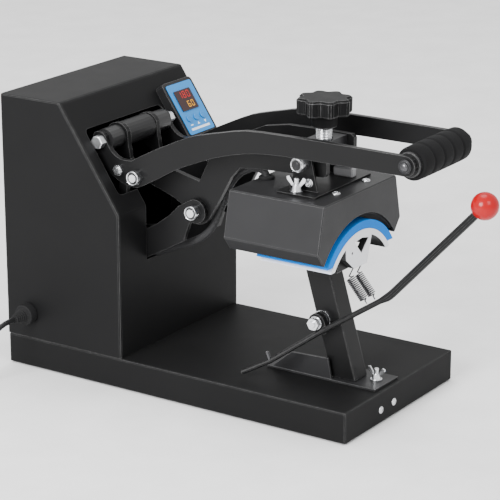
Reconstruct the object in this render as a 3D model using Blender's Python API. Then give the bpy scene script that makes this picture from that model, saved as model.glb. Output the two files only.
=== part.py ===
"""Small clamshell press with a curved heated head, its toggle handle and a tray base.

Metres, +Z up, -Y towards the operator, +X to the operator's right.
The mechanism stands on its own centre plane, a little left of the tray's.
"""
import math

import bmesh
import bpy
from mathutils import Matrix, Vector

# driving dimensions -------------------------------------------------------------------
MID = -0.027                      # X of the mechanism's centre plane
GAP = 0.0003                      # play between pieces that only lie together
SHEET = 0.0015                    # casing sheet thickness
BASE_W, BASE_L, BASE_TOP = 0.230, 0.450, 0.036
HOUSE_FRONT, HOUSE_REAR = 0.065, 0.225
HOUSE_Z0, HOUSE_KNEE, HOUSE_TOP = 0.0363, 0.2016, 0.3168
HOUSE_BREAK_Y = 0.1433            # where the slope meets the flat top
ARM_PIVOT = (0.0, 0.2045)         # Y, Z of the head arm's fixed pivot
TOP_PIVOT = (0.108, 0.273)        # Y, Z of the handle's pivot on the head arm
LINK_TOP = (0.083, 0.2446)        # Y, Z of the link's pin in the handle
LINK_FOOT = (0.090, 0.120)        # Y, Z of the link's fixed pivot
HANDLE_BOLT = (0.060, 0.240)
TILT = (-0.141, 0.2824)           # Y, Z of the shaft the head hangs on
SCREW_Y = -0.1413
PLATEN_X, PLATEN_Z = -0.0265, 0.1349
PAD_R, PLATEN_R, PLATEN_IN = 0.0809, 0.0714, 0.0650
PLATEN_Y0, PLATEN_Y1 = -0.188, -0.100
GRIP = (-0.274, 0.303)
GROMMET = (-0.0420, -0.0790)  # where the heater cable enters the cover
LEVER_PIVOT = (-0.148, 0.102)
CENTRE_SHIFT = 0.0664             # brings the middle of the whole length to Y 0
SLOPE = math.atan2(HOUSE_TOP - HOUSE_KNEE, HOUSE_BREAK_Y - HOUSE_FRONT)

COLOURS = {
    "black_sheet": (0.045, 0.045, 0.047), "black_paint": (0.035, 0.035, 0.037),
    "grey_paint": (0.105, 0.105, 0.110), "zinc": (0.62, 0.63, 0.64),
    "dark_steel": (0.06, 0.06, 0.065), "silicone_blue": (0.03, 0.28, 0.78),
    "cast_aluminium": (0.72, 0.73, 0.75), "heater_aluminium": (0.40, 0.40, 0.42),
    "black_rubber": (0.02, 0.02, 0.02), "black_plastic": (0.03, 0.03, 0.032),
    "red_plastic": (0.75, 0.02, 0.03), "label_blue": (0.20, 0.48, 0.80),
    "display": (0.03, 0.01, 0.01), "key_white": (0.80, 0.82, 0.84),
    "cord_pvc": (0.022, 0.022, 0.022), "sleeve": (0.05, 0.05, 0.05),
}


def clear_scene():
    for obj in list(bpy.data.objects):
        bpy.data.objects.remove(obj, do_unlink=True)


def material(node, slot):
    mat = bpy.data.materials.new(node + "_" + slot)
    mat.use_nodes = True
    shader = mat.node_tree.nodes["Principled BSDF"]
    shader.inputs["Base Color"].default_value = (*COLOURS[slot], 1.0)
    metal = slot in ("zinc", "dark_steel", "cast_aluminium", "heater_aluminium")
    shader.inputs["Metallic"].default_value = 0.9 if metal else 0.0
    shader.inputs["Roughness"].default_value = 0.35 if metal else 0.55
    return mat


def finish(name, bm, slot, smooth=False):
    """Turn a bmesh into a named object with its own material."""
    bmesh.ops.remove_doubles(bm, verts=bm.verts, dist=1e-6)
    bmesh.ops.recalc_face_normals(bm, faces=bm.faces)
    mesh = bpy.data.meshes.new(name)
    bm.to_mesh(mesh)
    bm.free()
    obj = bpy.data.objects.new(name, mesh)
    bpy.context.scene.collection.objects.link(obj)
    mesh.materials.append(material(name, slot))
    if smooth:
        mesh.shade_smooth()
        mesh.set_sharp_from_angle(angle=math.radians(35))
    return obj


# outlines -----------------------------------------------------------------------------
def circle(centre, radius, count=24, start=0.0):
    step = 2 * math.pi / count
    return [(centre[0] + radius * math.cos(start + i * step),
             centre[1] + radius * math.sin(start + i * step)) for i in range(count)]


def arc(centre, radius, start, end, count):
    """Points on a circle from start to end, in degrees."""
    out = []
    for i in range(count + 1):
        a = math.radians(start + (end - start) * i / count)
        out.append((centre[0] + radius * math.cos(a), centre[1] + radius * math.sin(a)))
    return out


def eye_bar(first, r_first, second, r_second, count=10):
    """Outline of a flat bar that is round about each of two points."""
    dx, dy = second[0] - first[0], second[1] - first[1]
    length, heading = math.hypot(dx, dy), math.degrees(math.atan2(dy, dx))
    lean = math.degrees(math.acos((r_first - r_second) / length))
    return (arc(first, r_first, heading + lean, heading + 360 - lean, count)
            + arc(second, r_second, heading - lean, heading + lean, count))


def curve_through(points, steps=3):
    """Catmull-Rom points along an open run of corner points."""
    out = []
    for i in range(len(points) - 1):
        p0, p1 = points[max(i - 1, 0)], points[i]
        p2, p3 = points[i + 1], points[min(i + 2, len(points) - 1)]
        for k in range(steps):
            t = k / steps
            out.append(tuple(
                0.5 * (2 * b + (c - a) * t + (2 * a - 5 * b + 4 * c - d) * t * t
                       + (3 * b - a - 3 * c + d) * t ** 3)
                for a, b, c, d in zip(p0, p1, p2, p3)))
    out.append(points[-1])
    return out


def rounded_box(u0, u1, v0, v1, radius, count=4):
    corners = [((u1 - radius, v1 - radius), 0), ((u0 + radius, v1 - radius), 90),
               ((u0 + radius, v0 + radius), 180), ((u1 - radius, v0 + radius), 270)]
    out = []
    for centre, start in corners:
        out += arc(centre, radius, start, start + 90, count)
    return out


# solids -------------------------------------------------------------------------------
def place(axis, u, v, t):
    """Plane coordinates u, v and depth t to X, Y, Z for a prism along axis."""
    return {"x": (t, u, v), "y": (u, t, v), "z": (u, v, t)}[axis]


def prism_mesh(axis, outline, lo, hi, holes=()):
    bm = bmesh.new()
    edges = []
    for loop in [outline, *holes]:
        verts = [bm.verts.new(place(axis, u, v, lo)) for u, v in loop]
        edges += [bm.edges.new((verts[i - 1], verts[i])) for i in range(len(verts))]
    faces = [f for f in bmesh.ops.triangle_fill(
        bm, use_beauty=True, use_dissolve=False, edges=edges)["geom"]
        if isinstance(f, bmesh.types.BMFace)]
    grown = bmesh.ops.extrude_face_region(bm, geom=faces)["geom"]
    move = Vector(place(axis, 0, 0, hi - lo))
    bmesh.ops.translate(bm, vec=move, verts=[v for v in grown if isinstance(v, bmesh.types.BMVert)])
    bmesh.ops.dissolve_limit(bm, angle_limit=0.001, verts=bm.verts, edges=bm.edges)
    bmesh.ops.triangulate(bm, faces=[f for f in bm.faces if len(f.verts) > 4])
    return bm


def prism(name, axis, outline, lo, hi, slot, holes=(), smooth=True):
    return finish(name, prism_mesh(axis, outline, lo, hi, holes), slot, smooth)


def stack_mesh(axis, centre, stations, count=20):
    """Rings of (position, radius, shape) along an axis, closed at both ends.

    shape is "o" for round, "h" for a hexagon whose corners lie on the radius.
    """
    bm = bmesh.new()
    rings = []
    for position, radius, shape in stations:
        ring = []
        for i in range(count):
            a = 2 * math.pi * i / count
            r = radius
            if shape == "h":
                r = radius * math.cos(math.pi / 6) / math.cos((a % (math.pi / 3)) - math.pi / 6)
            ring.append(bm.verts.new(place(axis, centre[0] + r * math.cos(a),
                                           centre[1] + r * math.sin(a), position)))
        rings.append(ring)
    for low, high in zip(rings, rings[1:]):
        for i in range(count):
            bm.faces.new((low[i - 1], low[i], high[i], high[i - 1]))
    bm.faces.new(rings[0])
    bm.faces.new(rings[-1])
    return bm


def stack(name, axis, centre, stations, slot, count=20):
    return finish(name, stack_mesh(axis, centre, stations, count), slot, True)


def tube_ring(name, axis, centre, profile, slot, count=24):
    """A turned piece with a bore: profile is a closed run of (position, radius)."""
    bm = bmesh.new()
    rings = []
    for position, radius in profile:
        rings.append([bm.verts.new(place(axis, centre[0] + radius * math.cos(a),
                                         centre[1] + radius * math.sin(a), position))
                      for a in (2 * math.pi * i / count for i in range(count))])
    for k, ring in enumerate(rings):
        other = rings[k - 1]
        for i in range(count):
            bm.faces.new((other[i - 1], other[i], ring[i], ring[i - 1]))
    return finish(name, bm, slot, True)


def sweep_mesh(points, radii, sides=12):
    """A round bar along points, its radius given at each."""
    bm = bmesh.new()
    points = [Vector(p) for p in points]
    tangents = [(points[min(i + 1, len(points) - 1)] - points[max(i - 1, 0)]).normalized()
                for i in range(len(points))]
    up = tangents[0].orthogonal().normalized()
    rings = []
    for i, (p, t, r) in enumerate(zip(points, tangents, radii)):
        up = (up - t * up.dot(t)).normalized()
        side = t.cross(up)
        rings.append([bm.verts.new(p + r * (math.cos(a) * up + math.sin(a) * side))
                      for a in (2 * math.pi * k / sides for k in range(sides))])
    for low, high in zip(rings, rings[1:]):
        for k in range(sides):
            bm.faces.new((low[k - 1], low[k], high[k], high[k - 1]))
    bm.faces.new(rings[0])
    bm.faces.new(rings[-1])
    return bm


def helper(bm):
    """A hidden solid that only cuts or joins."""
    bmesh.ops.recalc_face_normals(bm, faces=bm.faces)
    mesh = bpy.data.meshes.new("helper")
    bm.to_mesh(mesh)
    bm.free()
    obj = bpy.data.objects.new("helper", mesh)
    bpy.context.scene.collection.objects.link(obj)
    obj.hide_render = True
    obj.display_type = "WIRE"
    return obj


def combine(obj, operation, *meshes):
    """Apply a cut or a join with each helper solid, then drop the helper."""
    for bm in meshes:
        tool = helper(bm)
        mod = obj.modifiers.new("combine", "BOOLEAN")
        mod.operation, mod.solver, mod.object = operation, "EXACT", tool
        depsgraph = bpy.context.evaluated_depsgraph_get()
        result = bpy.data.meshes.new_from_object(obj.evaluated_get(depsgraph))
        obj.modifiers.clear()
        slots = [s.material for s in obj.material_slots]
        old = obj.data
        obj.data = result
        bpy.data.meshes.remove(old)
        bpy.data.objects.remove(tool, do_unlink=True)
        result.materials.clear()
        for m in slots[:1]:
            result.materials.append(m)
        for poly in result.polygons:
            poly.material_index = 0
    obj.data.shade_smooth()
    obj.data.set_sharp_from_angle(angle=math.radians(35))
    return obj


def bevel(obj, width, segments=2, angle=40):
    mod = obj.modifiers.new("edge", "BEVEL")
    mod.width, mod.segments = width, segments
    mod.limit_method, mod.angle_limit = "ANGLE", math.radians(angle)
    depsgraph = bpy.context.evaluated_depsgraph_get()
    result = bpy.data.meshes.new_from_object(obj.evaluated_get(depsgraph))
    obj.modifiers.clear()
    obj.data = result
    result.set_sharp_from_angle(angle=math.radians(35))
    return obj


def box_mesh(x0, x1, y0, y1, z0, z1):
    return prism_mesh("z", [(x0, y0), (x1, y0), (x1, y1), (x0, y1)], z0, z1)


def pivot_at(objects, x, y, z):
    """Put the objects' origin on the joint they turn or slide on."""
    for obj in objects:
        obj.data.transform(Matrix.Translation((-x, -y, -z)))
        obj.location = (x, y, z)


# base and housing ---------------------------------------------------------------------
def build_base():
    half_w, half_l = BASE_W / 2, BASE_L / 2
    tray = finish("base_tray", box_mesh(-half_w, half_w, -half_l, half_l, -0.010, BASE_TOP),
                  "black_sheet", True)
    bevel(tray, 0.002, 2)
    combine(tray, "DIFFERENCE", box_mesh(-half_w + SHEET, half_w - SHEET, -half_l + SHEET,
                                         half_l - SHEET, -0.02, BASE_TOP - SHEET),
            box_mesh(-0.2, 0.2, -0.3, 0.3, -0.03, 0.002))
    for n, (sx, sy) in enumerate([(-1, -1), (1, -1), (-1, 1), (1, 1)], 1):
        stack("rubber_foot_%d" % n, "z", (sx * 0.092, sy * 0.200),
              [(0.0, 0.0105, "o"), (0.0015, 0.0120, "o"),
               (BASE_TOP - SHEET - GAP, 0.0140, "o")], "black_rubber")


def house_profile(inset, front_low, rear):
    """Side outline of the housing, drawn in by inset from its outside."""
    run, rise = math.cos(SLOPE), math.sin(SLOPE)
    front, top = HOUSE_FRONT + inset, HOUSE_TOP - inset
    knee = HOUSE_KNEE - inset * (1 - run) / rise
    peak = HOUSE_BREAK_Y + inset * (1 - run) / rise
    return [(front, front_low), (rear, front_low), (rear, top), (peak, top), (front, knee)]


def build_housing():
    half = BASE_W / 2
    shell = prism("housing_shell", "x", house_profile(0, 0.020, 0.240), -half, half, "black_sheet")
    bevel(shell, 0.0025, 2, 20)
    inner = prism_mesh("x", house_profile(SHEET, 0.01, 0.25), -half + SHEET, half - SHEET)
    combine(shell, "DIFFERENCE", inner, box_mesh(-0.2, 0.2, 0.0, 0.3, 0.0, HOUSE_Z0),
            box_mesh(-0.2, 0.2, HOUSE_REAR, 0.3, 0.0, 0.4), wide_slot(),
            box_mesh(MID - 0.0375, MID + 0.0375, 0.05, 0.095, 0.138, 0.2215))
    prism("rear_cover", "y", [(-half + 0.0018, HOUSE_Z0), (half - 0.0018, HOUSE_Z0),
                              (half - 0.0018, HOUSE_TOP - 0.0018),
                              (-half + 0.0018, HOUSE_TOP - 0.0018)], 0.2225, 0.224, "black_sheet")


def wide_slot():
    """The slot in the slope, cut square to it, with round upper corners."""
    low, high = 0.2185, 0.286
    along = (high - low) / math.sin(SLOPE)
    outline = rounded_box(-0.0705, 0.0705, 0, along, 0.006)
    bm = prism_mesh("z", outline, -0.02, 0.02)
    y_low = HOUSE_FRONT + (low - HOUSE_KNEE) / math.tan(SLOPE)
    bmesh.ops.transform(bm, verts=bm.verts, matrix=Matrix.Translation((MID, y_low, low))
                        @ Matrix.Rotation(SLOPE, 4, "X"))
    return bm


def build_frame():
    """Two upright plates that carry the head arm's pivot and the link's foot."""
    dy, dz = ARM_PIVOT
    outline = (arc((dy, dz), 0.0135, 60, 300, 12)
               + [(0.0159, 0.168), (0.0322, 0.1588), (0.0624, 0.1425), (0.0684, 0.1395),
                  (0.0700, 0.1380), (0.0700, 0.0366), (0.175, 0.0366), (0.175, 0.100),
                  (0.150, 0.135), (0.120, 0.152), (0.085, 0.160), (0.075, 0.1675),
                  (0.0646, 0.1745), (0.0508, 0.1826), (0.0344, 0.1946), (0.0222, 0.2069)])
    holes = [circle(ARM_PIVOT, 0.0053, 16), circle(LINK_FOOT, 0.0063, 16)]
    for side, s in (("left", -1), ("right", 1)):
        a, b = sorted((MID + s * 0.0310, MID + s * 0.0365))
        plate = prism("frame_plate_" + side, "x", outline, a, b, "black_paint", holes)
        lo, hi = sorted((MID + s * 0.0330, MID + s * 0.052))
        combine(plate, "UNION", box_mesh(lo, hi, 0.072, 0.173, 0.0366, 0.0396))
        bolt_x = [0.0180, 0.0237, 0.0237, 0.0240, 0.0240, 0.0368, 0.0368, 0.0415, 0.0450, 0.0450, 0.0462]
        bolt_r = [0.0078, 0.0084, 0.0084, 0.0084, 0.0050, 0.0050, 0.0088, 0.0088, 0.0080, 0.0050, 0.0046]
        shape = "hhhhoohhooo"
        stations = [(MID + s * x, r, k) for x, r, k in zip(bolt_x, bolt_r, shape)]
        stack("arm_pivot_bolt_" + side, "x", ARM_PIVOT, stations, "zinc")
    ends = [(-0.0620, 0.0085, "h"), (-0.0536, 0.0085, "h"), (-0.0536, 0.0060, "o"),
            (-0.0464, 0.0060, "o"), (-0.0464, 0.0090, "o"), (-0.0368, 0.0090, "o"),
            (-0.0368, 0.0060, "o")]
    both = ends + [(-x, r, k) for x, r, k in reversed(ends)]
    stack("link_pivot_shaft", "x", LINK_FOOT, [(MID + x, r, k) for x, r, k in both], "zinc")


# temperature controller ---------------------------------------------------------------
CASE_MID = (0.07525, 0.1127, 0.2718)    # on the slope, under the panel's middle


def on_slope(objects):
    """Stand flat pieces, drawn about the origin, on the housing's slope."""
    base = Matrix.Translation(CASE_MID) @ Matrix.Rotation(SLOPE, 4, "X")
    for obj in objects:
        obj.data.transform(base)


def build_controller():
    case = prism("controller_case", "z", rounded_box(-0.0282, 0.0282, -0.0355, 0.0355, 0.005),
                 GAP, 0.0110, "black_plastic")
    panel = prism("control_panel", "z", rounded_box(-0.0238, 0.0238, -0.0315, 0.0315, 0.0025),
                  0.0113, 0.0121, "label_blue")
    window = prism("display_window", "z", rounded_box(-0.0168, 0.0138, -0.0030, 0.0224, 0.0010),
                   0.0124, 0.0132, "display")
    keys = []
    for name, x in (("key_set", -0.0130), ("key_up", 0.0), ("key_down", 0.0130)):
        keys.append(stack(name, "z", (x, -0.0130), [(0.0126, 0.0040, "o"), (0.0132, 0.0040, "o"),
                                                     (0.0136, 0.0034, "o")], "key_white"))
    on_slope([case, panel, window, *keys])


# head arm -----------------------------------------------------------------------------
def build_head_arm():
    """The cranked plates that swing the head, and what joins them."""
    ay, az = TOP_PIVOT
    outline = (curve_through([(-0.0429, 0.2479), (-0.0285, 0.2210), (-0.0141, 0.1960)], 2)
               + arc(ARM_PIVOT, 0.0160, 215, 300, 6)
               + [(0.0180, 0.2060), (0.0310, 0.2135), (0.0484, 0.2198), (0.0700, 0.2265),
                  (0.0930, 0.2370), (0.1120, 0.2520)]
               + arc((ay, az), 0.0150, -20, 155, 9)
               + [(0.0930, 0.2620), (0.0918, 0.2580), (0.0907, 0.2490), (0.0870, 0.2475),
                  (0.0313, 0.2452), (0.0174, 0.2417), (-0.0019, 0.2377), (-0.0131, 0.2599),
                  (-0.0180, 0.2740), (-0.0300, 0.2860), (-0.0500, 0.2950), (-0.0800, 0.3005),
                  (-0.1200, 0.3015), (-0.1600, 0.3015), (-0.1635, 0.2980), (-0.1635, 0.2700),
                  (-0.1600, 0.2665), (-0.1180, 0.2651), (-0.0803, 0.2636), (-0.0545, 0.2607)])
    slot_hole = (arc((TILT[0], TILT[1] + 0.0002), 0.0055, 0, 180, 8)
                 + arc((TILT[0], TILT[1] - 0.0034), 0.0055, 180, 360, 8))
    holes = [circle(ARM_PIVOT, 0.0053, 16), circle(TOP_PIVOT, 0.0043, 16), slot_hole]
    made = []
    for side, s in (("left", -1), ("right", 1)):
        a, b = sorted((MID + s * 0.0243, MID + s * 0.0303))
        made.append(prism("head_arm_" + side, "x", outline, a, b, "black_paint", holes))
    made.append(prism("arm_crossbar", "z", [(MID - 0.0240, -0.155), (MID + 0.0240, -0.155),
                                            (MID + 0.0240, -0.127), (MID - 0.0240, -0.127)],
                      0.2905, 0.3005, "dark_steel", [circle((MID, SCREW_Y), 0.0094, 24)]))
    half = [(-0.0690, 0.0070, "h"), (-0.0685, 0.0080, "h"), (-0.0609, 0.0080, "h"),
            (-0.0609, 0.0040, "o"), (-0.0541, 0.0040, "o"), (-0.0541, 0.0125, "o"),
            (-0.0307, 0.0125, "o"), (-0.0307, 0.0040, "o")]
    both = half + [(-x, r, k) for x, r, k in reversed(half)]
    made.append(stack("top_shaft", "x", TOP_PIVOT, [(MID + x, r, k) for x, r, k in both], "zinc"))
    made.append(tube_ring("shaft_spacer", "x", TOP_PIVOT, [
        (MID - 0.0240, 0.0043), (MID - 0.0240, 0.0130), (MID - 0.0230, 0.0140),
        (MID + 0.0230, 0.0140), (MID + 0.0240, 0.0130), (MID + 0.0240, 0.0043)], "black_plastic"))
    cable = curve_through([(0.0610, 0.1435), (0.0380, 0.1540), (0.0130, 0.1640), (-0.0060, 0.1800),
                           (-0.0170, 0.2000), (-0.0250, 0.2200), (-0.0340, 0.2380),
                           (-0.0460, 0.2510), (-0.0590, 0.2575), (-0.0700, 0.2590),
                           (-0.0765, 0.2580), (-0.0790, 0.2562)], 2)
    made.append(finish("heater_cable", sweep_mesh([(GROMMET[0], y, z) for y, z in cable],
                                                  [0.0042] * len(cable), 10), "sleeve", True))
    pivot_at(made, MID, *ARM_PIVOT)


# heated head --------------------------------------------------------------------------
def wing_nut_mesh(x, y, z, size=1.0):
    """Nut, its two wings (across Y) and the stud's end, standing on z."""
    k = size
    body = stack_mesh("z", (x, y), [
        (z, 0.0072 * k, "o"), (z + 0.0014 * k, 0.0072 * k, "o"), (z + 0.0014 * k, 0.0056 * k, "o"),
        (z + 0.0075 * k, 0.0044 * k, "o"), (z + 0.0075 * k, 0.0029 * k, "o"),
        (z + 0.0140 * k, 0.0029 * k, "o"), (z + 0.0146 * k, 0.0024 * k, "o")], 16)
    wings = [(-0.0030, 0.0030), (-0.0115, 0.0120), (-0.0118, 0.0150), (-0.0085, 0.0160),
             (-0.0030, 0.0075), (0.0030, 0.0075), (0.0085, 0.0160), (0.0118, 0.0150),
             (0.0115, 0.0120), (0.0030, 0.0030)]
    blade = prism_mesh("x", [(y + u * k, z + v * k) for u, v in wings],
                       x - 0.0011 * k, x + 0.0011 * k)
    return body, blade


def wing_nut(name, x, y, z, size=1.0):
    body, blade = wing_nut_mesh(x, y, z, size)
    return combine(finish(name, body, "zinc", True), "UNION", blade)


def cover_profile(inset, bottom):
    top, waist, low = 0.073, 0.084, 0.0725
    side = inset * 1.06
    lowered = low - side - (0.185 - bottom) * (waist - low) / 0.0145
    return [(MID - lowered, bottom), (MID + lowered, bottom), (MID + waist - side, 0.1995),
            (MID + top - side, 0.2495 - inset), (MID - top + side, 0.2495 - inset),
            (MID - waist + side, 0.1995)]


def build_head():
    made = []
    y0, y1 = -0.1875, -0.0695
    cover = prism("heater_cover", "y", cover_profile(0, 0.178), y0, y1, "grey_paint")
    bevel(cover, 0.0012, 1, 20)
    combine(cover, "DIFFERENCE",
            prism_mesh("y", cover_profile(SHEET, 0.172), y0 + SHEET, y1 - SHEET),
            box_mesh(-0.2, 0.2, -0.3, 0.0, 0.1, 0.185),
            stack_mesh("y", (PLATEN_X, PLATEN_Z), [(-0.21, 0.0885, "o"), (-0.05, 0.0885, "o")], 72),
            stack_mesh("z", GROMMET, [(0.24, 0.0068, "o"), (0.26, 0.0068, "o")], 20))
    made.append(cover)
    tip = math.degrees(math.asin((0.193 - PLATEN_Z) / 0.0890))
    made.append(prism("heating_plate", "y",
                      arc((PLATEN_X, PLATEN_Z), 0.0930, 180 - tip, tip, 28)
                      + arc((PLATEN_X, PLATEN_Z), 0.0868, tip, 180 - tip, 28),
                      y0 + 0.002, y1 - 0.002, "heater_aluminium"))
    base_z, top_z = 0.2498, 0.2523
    yoke = prism("head_yoke", "z", rounded_box(MID - 0.0580, MID + 0.0580, -0.1660, -0.1176, 0.003, 3),
                 base_z, top_z, "black_paint")
    for s in (-1, 1):
        lo, hi = sorted((MID + s * 0.0365, MID + s * 0.0395))
        upright = ([(-0.158, top_z - 0.0005), (-0.124, top_z - 0.0005), (-0.1305, 0.2800)]
                   + arc(TILT, 0.0100, 0, 180, 8) + [(-0.1515, 0.2800)])
        combine(yoke, "UNION", prism_mesh("x", upright, lo, hi, [circle(TILT, 0.0053, 16)]))
    made.append(yoke)
    half = [(-0.0540, 0.0070, "o"), (-0.0530, 0.0080, "o"), (-0.0500, 0.0080, "o"),
            (-0.0500, 0.0086, "h"), (-0.0398, 0.0086, "h"), (-0.0398, 0.0050, "o")]
    both = half + [(-x, r, k) for x, r, k in reversed(half)]
    made.append(stack("tilt_shaft", "x", TILT, [(MID + x, r, k) for x, r, k in both], "zinc"))
    for side, s in (("left", -1), ("right", 1)):
        made.append(wing_nut("wing_nut_" + side, MID + s * 0.0480, -0.1379, top_z + GAP))
    made.append(tube_ring("cable_grommet", "z", GROMMET, [
        (0.2470, 0.0048), (0.2470, 0.0065), (0.2498, 0.0065), (0.2498, 0.0090),
        (0.2520, 0.0085), (0.2530, 0.0070), (0.2530, 0.0048)], "black_rubber"))
    pivot_at(made, MID, *TILT)


def build_knob():
    """Lobed hand knob on the pressure screw."""
    count, made = 64, []
    bm = bmesh.new()
    stations = [(0.3125, 0.0125, 0), (0.3135, 0.0135, 0), (0.3270, 0.0140, 0),
                (0.3272, 0.0262, 1), (0.3285, 0.0272, 1), (0.3425, 0.0275, 1), (0.3447, 0.0250, 1)]
    rings = []
    for z, radius, lobed in stations:
        ring = []
        for i in range(count):
            a = 2 * math.pi * i / count
            r = radius + lobed * 0.0028 * math.cos(8 * a)
            ring.append(bm.verts.new((MID + r * math.cos(a), SCREW_Y + r * math.sin(a), z)))
        rings.append(ring)
    for low, high in zip(rings, rings[1:]):
        for i in range(count):
            bm.faces.new((low[i - 1], low[i], high[i], high[i - 1]))
    bm.faces.new(rings[0])
    bm.faces.new(rings[-1])
    made.append(finish("pressure_knob", bm, "black_plastic", True))
    made.append(stack("pressure_screw", "z", (MID, SCREW_Y), [
        (0.2890, 0.0080, "o"), (0.2900, 0.0090, "o"), (0.3122, 0.0090, "o")], "zinc", 24))
    pivot_at(made, MID, SCREW_Y, 0.3125)


# handle and links ---------------------------------------------------------------------
def handle_outline():
    hook = curve_through([
        (0.0673, 0.2568), (0.0824, 0.2567), (0.0932, 0.2630), (0.0995, 0.2719), (0.1020, 0.2800),
        (0.1085, 0.2835), (0.1165, 0.2820), (0.1185, 0.2730), (0.1115, 0.2550), (0.0950, 0.2380),
        (0.0760, 0.2290), (0.0600, 0.2275)], 2)
    under = curve_through([
        (0.0518, 0.2311), (0.0289, 0.2437), (0.0076, 0.2560), (-0.0239, 0.2697), (-0.0497, 0.2791),
        (-0.0813, 0.2871), (-0.1137, 0.2910), (-0.1638, 0.2922), (-0.2640, 0.2925)], 2)
    tip = arc(GRIP, 0.0105, -90, -270, 8)
    over = curve_through([
        (-0.2612, 0.3135), (-0.1636, 0.3139), (-0.1210, 0.3134), (-0.0813, 0.3119),
        (-0.0498, 0.3052), (-0.0306, 0.3007), (-0.0112, 0.2952), (0.0151, 0.2836),
        (0.0417, 0.2707), (0.0600, 0.2610)], 2)
    return hook + under + tip + over


def build_handle():
    made = []
    holes = [circle(TOP_PIVOT, 0.0043, 16), circle(LINK_TOP, 0.0043, 16),
             circle(HANDLE_BOLT, 0.0053, 16), circle(GRIP, 0.0043, 16)]
    for side, s in (("left", -1), ("right", 1)):
        a, b = sorted((MID + s * 0.0545, MID + s * 0.0605))
        made.append(prism("handle_arm_" + side, "x", handle_outline(), a, b, "black_paint", holes))
        bolt = [(0.0470, 0.0080, "h"), (0.0475, 0.0084, "h"), (0.0542, 0.0084, "h"),
                (0.0542, 0.0050, "o"), (0.0608, 0.0050, "o"), (0.0608, 0.0088, "h"),
                (0.0655, 0.0088, "h"), (0.0685, 0.0080, "o"), (0.0685, 0.0048, "o"),
                (0.0695, 0.0044, "o")]
        made.append(stack("arm_bolt_" + side, "x", HANDLE_BOLT,
                          [(MID + s * x, r, k) for x, r, k in bolt], "zinc"))
        pin = [(0.0536, 0.0055, "o"), (0.0542, 0.0055, "o"), (0.0542, 0.0040, "o"),
               (0.0608, 0.0040, "o"), (0.0608, 0.0066, "h"), (0.0650, 0.0066, "h"),
               (0.0650, 0.0040, "o"), (0.0665, 0.0036, "o")]
        made.append(stack("link_pin_" + side, "x", LINK_TOP,
                          [(MID + s * x, r, k) for x, r, k in pin], "zinc"))
    half = [(-0.0635, 0.0060, "o"), (-0.0625, 0.0075, "o"), (-0.0608, 0.0078, "o"),
            (-0.0608, 0.0040, "o")]
    both = half + [(-x, r, k) for x, r, k in reversed(half)]
    made.append(stack("handle_rod", "x", GRIP, [(MID + x, r, k) for x, r, k in both], "zinc"))
    half_grip = [(-0.0540, 0.0043), (-0.0540, 0.0130), (-0.0490, 0.0135), (-0.0490, 0.0165),
                 (-0.0475, 0.0178)]
    for groove in (-0.030, -0.010):
        half_grip += [(groove - 0.0030, 0.0180), (groove - 0.0015, 0.0170),
                      (groove + 0.0015, 0.0170), (groove + 0.0030, 0.0180)]
    both = half_grip + [(-x, r) for x, r in reversed(half_grip)]
    made.append(tube_ring("grip", "x", GRIP, [(MID + x, r) for x, r in both], "black_rubber"))
    pivot_at(made, MID, *TOP_PIVOT)


def build_links():
    made = []
    ty, tz = LINK_TOP
    fy, fz = LINK_FOOT
    lean = math.degrees(math.atan2(tz - fz, ty - fy))
    outline = (arc(LINK_TOP, 0.0080, lean - 140, lean + 140, 12)
               + arc(LINK_FOOT, 0.0100, lean + 30, lean + 330, 12))
    for side, s in (("left", -1), ("right", 1)):
        a, b = sorted((MID + s * 0.0470, MID + s * 0.0530))
        made.append(prism("toggle_link_" + side, "x", outline, a, b, "black_paint",
                          [circle(LINK_TOP, 0.0043, 16), circle(LINK_FOOT, 0.0063, 16)]))
    pivot_at(made, MID, *LINK_FOOT)


# lower platen, post and lever ---------------------------------------------------------
def build_platen():
    centre = (PLATEN_X, PLATEN_Z)
    tip = math.degrees(math.asin((0.1735 - PLATEN_Z) / PLATEN_R))
    tip_in = math.degrees(math.asin((0.1735 - PLATEN_Z) / PLATEN_IN))
    platen = prism("lower_platen", "y", arc(centre, PLATEN_R, 180 - tip, tip, 32)
                   + arc(centre, PLATEN_IN, tip_in, 180 - tip_in, 32),
                   PLATEN_Y0, PLATEN_Y1, "cast_aluminium")
    web = ([(PLATEN_X - 0.0130, 0.1670), (PLATEN_X + 0.0130, 0.1670), (PLATEN_X + 0.0225, 0.1975)]
           + arc(centre, PLATEN_IN + 0.0020, 70, 110, 6) + [(PLATEN_X - 0.0300, 0.1935),
                                                            (PLATEN_X - 0.0290, 0.1800)])
    window = [(-0.0392, 0.1960), (-0.0250, 0.1805), (-0.0105, 0.1945), (-0.0240, 0.1975)]
    combine(platen, "UNION", prism_mesh("y", web, PLATEN_Y0, PLATEN_Y0 + 0.008,
                                        [window, circle((-0.0438, 0.1851), 0.0016, 8)]))
    tip = math.degrees(math.asin((0.180 - PLATEN_Z) / PAD_R))
    tip_in = math.degrees(math.asin((0.180 - PLATEN_Z) / (PLATEN_R + GAP)))
    prism("silicone_pad", "y", arc(centre, PAD_R, 180 - tip, tip, 32)
          + arc(centre, PLATEN_R + GAP, tip_in, 180 - tip_in, 32),
          PLATEN_Y0, PLATEN_Y1, "silicone_blue")
    bracket = prism("platen_bracket", "x", [
        (-0.1797, 0.1655), (-0.1100, 0.1655), (-0.1020, 0.1760), (-0.1020, 0.1800), (-0.1797, 0.1800)],
        MID - 0.034, MID + 0.0135, "black_paint", smooth=False)
    bevel(bracket, 0.0010, 1)


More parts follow.
